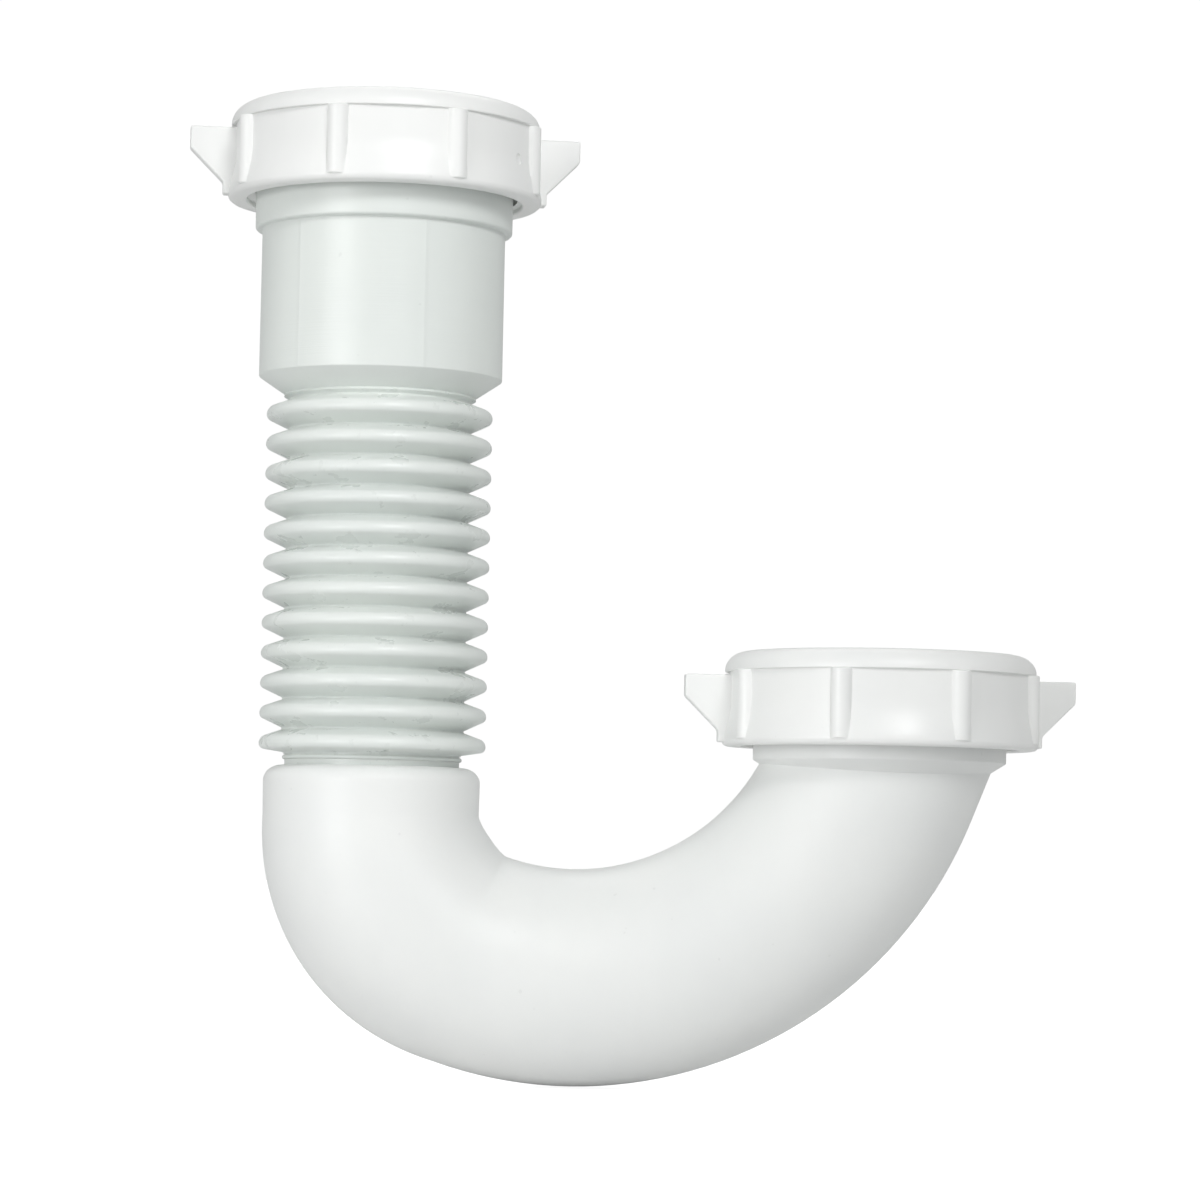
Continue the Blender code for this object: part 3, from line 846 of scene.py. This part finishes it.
def build_washers(mat):
    """Tapered washers: a brim over the mouth and a wedge in the seat."""
    wedge_end = -SEAT_DEPTH + 1.5 * MM
    line = rounded([(WASHER_BORE_R, WASHER_TOP, 0.3 * MM), (WASHER_BORE_R, wedge_end, 0.15 * MM),
                    (WASHER_BORE_R + 0.5 * MM, wedge_end, 0.15 * MM),
                    (SEAT_R - 0.4 * MM, WASHER_BRIM - 0.3 * MM, 0.1 * MM), (WASHER_R, WASHER_BRIM, 0.25 * MM),
                    (WASHER_R, WASHER_TOP, 0.4 * MM)], 4)
    for end, spot in (("inlet", (INLET_X, 0, INLET_MOUTH)), ("outlet", (0, 0, 0))):
        mesh = turned_mesh(end + "_taper_washer", lambda turn: line, even_turns(THREAD_SIDES))
        washer = add_object(end + "_taper_washer", mesh, mat, spot)
        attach(washer, end + "_seal")
        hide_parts(end + "_washer")


# ------------------------------------------------------------------- stage

def camera_share(tree):
    """1 for what the camera sees directly, 0 for light that bounces."""
    return tree.nodes.new("ShaderNodeLightPath").outputs["Is Camera Ray"]


def build_world():
    """Soft even studio light, a little stronger from the front, with a white backdrop."""
    world = bpy.data.worlds.new("studio")
    bpy.context.scene.world = world
    world.use_nodes = True
    tree = world.node_tree
    tree.nodes.clear()
    out = tree.nodes.new("ShaderNodeOutputWorld")
    coord = tree.nodes.new("ShaderNodeTexCoord")
    dot = tree.nodes.new("ShaderNodeVectorMath")
    dot.operation = "DOT_PRODUCT"
    dot.inputs[1].default_value = Vector(WORLD_SIDE).normalized()
    tree.links.new(coord.outputs["Generated"], dot.inputs[0])
    ramp = tree.nodes.new("ShaderNodeMapRange")
    limits = (-1.0, 1.0, *WORLD_LIGHT)
    for key, number in zip(("From Min", "From Max", "To Min", "To Max"), limits):
        ramp.inputs[key].default_value = number
    tree.links.new(dot.outputs["Value"], ramp.inputs["Value"])
    light = tree.nodes.new("ShaderNodeBackground")
    light.inputs["Color"].default_value = WORLD_TINT
    tree.links.new(ramp.outputs["Result"], light.inputs["Strength"])
    shown = tree.nodes.new("ShaderNodeBackground")
    shown.inputs["Color"].default_value = (1.0, 1.0, 1.0, 1.0)
    shown.inputs["Strength"].default_value = BACKDROP_STRENGTH
    mix = tree.nodes.new("ShaderNodeMixShader")
    tree.links.new(camera_share(tree), mix.inputs[0])
    tree.links.new(light.outputs[0], mix.inputs[1])
    tree.links.new(shown.outputs[0], mix.inputs[2])
    tree.links.new(mix.outputs[0], out.inputs["Surface"])


def build_floor():
    """Plain pale floor under the bend, bright enough to run into the backdrop."""
    bm = bmesh.new()
    bmesh.ops.create_circle(bm, cap_ends=True, segments=96, radius=FLOOR_R)
    floor = bpy.data.objects.new("floor", finish_mesh(bm, "floor"))
    bpy.context.collection.objects.link(floor)
    floor.location = ((cad_low.x + cad_high.x) / 2, 0, cad_low.z - FLOOR_GAP)
    mat = bpy.data.materials.new("floor_white")
    mat.use_nodes = True
    tree = mat.node_tree
    tree.nodes.clear()
    out = tree.nodes.new("ShaderNodeOutputMaterial")
    plain = tree.nodes.new("ShaderNodeBsdfDiffuse")
    plain.inputs["Color"].default_value = FLOOR_GREY
    glow = tree.nodes.new("ShaderNodeEmission")
    both = tree.nodes.new("ShaderNodeAddShader")
    share = tree.nodes.new("ShaderNodeMapRange")
    limits = (0.0, 1.0, *FLOOR_GLOW)
    for key, number in zip(("From Min", "From Max", "To Min", "To Max"), limits):
        share.inputs[key].default_value = number
    tree.links.new(camera_share(tree), share.inputs["Value"])
    tree.links.new(share.outputs["Result"], glow.inputs["Strength"])
    tree.links.new(plain.outputs[0], both.inputs[0])
    tree.links.new(glow.outputs[0], both.inputs[1])
    tree.links.new(both.outputs[0], out.inputs["Surface"])
    floor.data.materials.append(mat)


def add_softbox(name, azimuth, height, distance, size, power, spread, target):
    """Gridded area light aimed at target; azimuth is degrees right of the viewer's side."""
    data = bpy.data.lights.new(name, "AREA")
    data.shape = "RECTANGLE"
    data.size, data.size_y = size
    data.energy = power
    data.spread = math.radians(spread)
    lamp = bpy.data.objects.new(name, data)
    bpy.context.collection.objects.link(lamp)
    around = math.radians(azimuth)
    lamp.location = target + Vector((math.sin(around) * distance, -math.cos(around) * distance, height))
    lamp.rotation_mode = "QUATERNION"
    lamp.rotation_quaternion = (target - lamp.location).to_track_quat("-Z", "Y")


def build_camera():
    """Camera a little below the sockets, tilted up and rolled slightly."""
    data = bpy.data.cameras.new("camera")
    data.lens = CAMERA_LENS
    data.sensor_width = CAMERA_SENSOR
    data.clip_start, data.clip_end = CAMERA_CLIP
    camera = bpy.data.objects.new("camera", data)
    bpy.context.collection.objects.link(camera)
    ahead = Vector((0, math.cos(CAMERA_PITCH), math.sin(CAMERA_PITCH)))
    level_up = Vector((0, -math.sin(CAMERA_PITCH), math.cos(CAMERA_PITCH)))
    level_right = Vector((1, 0, 0))
    right = level_right * math.cos(CAMERA_ROLL) + level_up * math.sin(CAMERA_ROLL)
    up = level_up * math.cos(CAMERA_ROLL) - level_right * math.sin(CAMERA_ROLL)
    frame_axes = Matrix((right, up, -ahead)).transposed()
    camera.matrix_world = Matrix.Translation(CAMERA_SPOT) @ frame_axes.to_4x4()
    bpy.context.scene.camera = camera


def main():
    """Builds the pieces, then the stage and its lights."""
    build_camera()
    white = plastic("bend_plastic", WHITE, 0.42, 0.004 * MM)
    nut_white = plastic("nut_plastic", NUT_WHITE, 0.36, 0.004 * MM)
    riser = plastic("riser_plastic", RISER_WHITE, 0.3, 0.003 * MM)
    collar = plastic("collar_plastic", RISER_WHITE, 0.34, 0.003 * MM, turned=True)
    seal = plastic("washer_plastic", SEAL_WHITE, 0.5, 0.006 * MM)
    build_bend(white)
    build_cuff(riser)
    build_bellows(riser)
    build_collar(collar)
    build_nuts(nut_white)
    build_washers(seal)
    build_world()
    build_floor()
    centre = (cad_low + cad_high) / 2
    low_part = Vector((-45, 0, -58)) * MM
    high_part = Vector((INLET_X, 0, INLET_MOUTH - 14 * MM))
    add_softbox("key", -38, 0.1, 0.7, (0.25, 0.35), 0.14, 44, low_part)
    add_softbox("front", 20, 0.4, 0.75, (0.25, 0.25), 0.13, 34, high_part)
    add_softbox("overhead", 180, 0.65, 0.45, (0.45, 0.25), 0.65, 180, centre)
    bpy.context.scene.view_settings.view_transform = "Standard"


main()
